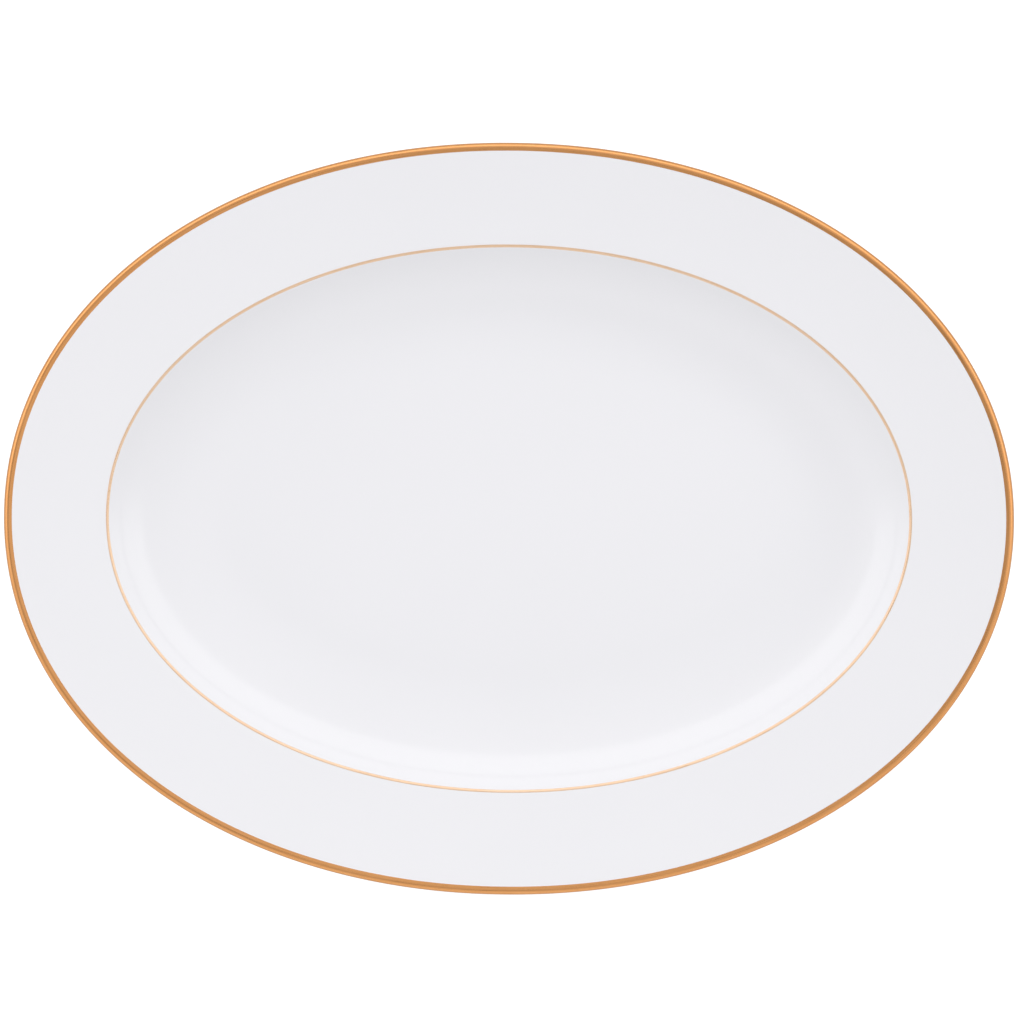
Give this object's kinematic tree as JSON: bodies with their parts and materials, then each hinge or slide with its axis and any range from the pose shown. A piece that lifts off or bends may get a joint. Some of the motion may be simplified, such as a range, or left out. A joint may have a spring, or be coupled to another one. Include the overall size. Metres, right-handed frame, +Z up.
{
  "type": "serving platter",
  "caption": "Oval china serving platter with a broad rim, a shallow well on a foot ring, a gilt edge and a gilt verge line.",
  "frame": {"origin": "middle of the plane that the foot ring stands on", "axes": "+X along the platter's length, +Y across it, +Z up out of the well"},
  "size_m": [0.356, 0.265, 0.026],
  "materials": {
    "biscuit": "matte",
    "glaze": "gloss",
    "gilding": "gloss"
  },
  "bodies": {
    "root": {"china_body": "biscuit", "glaze_coat": "glaze", "foot_well_glaze": "glaze", "rim_gilding": "gilding", "verge_gilding": "gilding"}
  },
  "joints": []
}
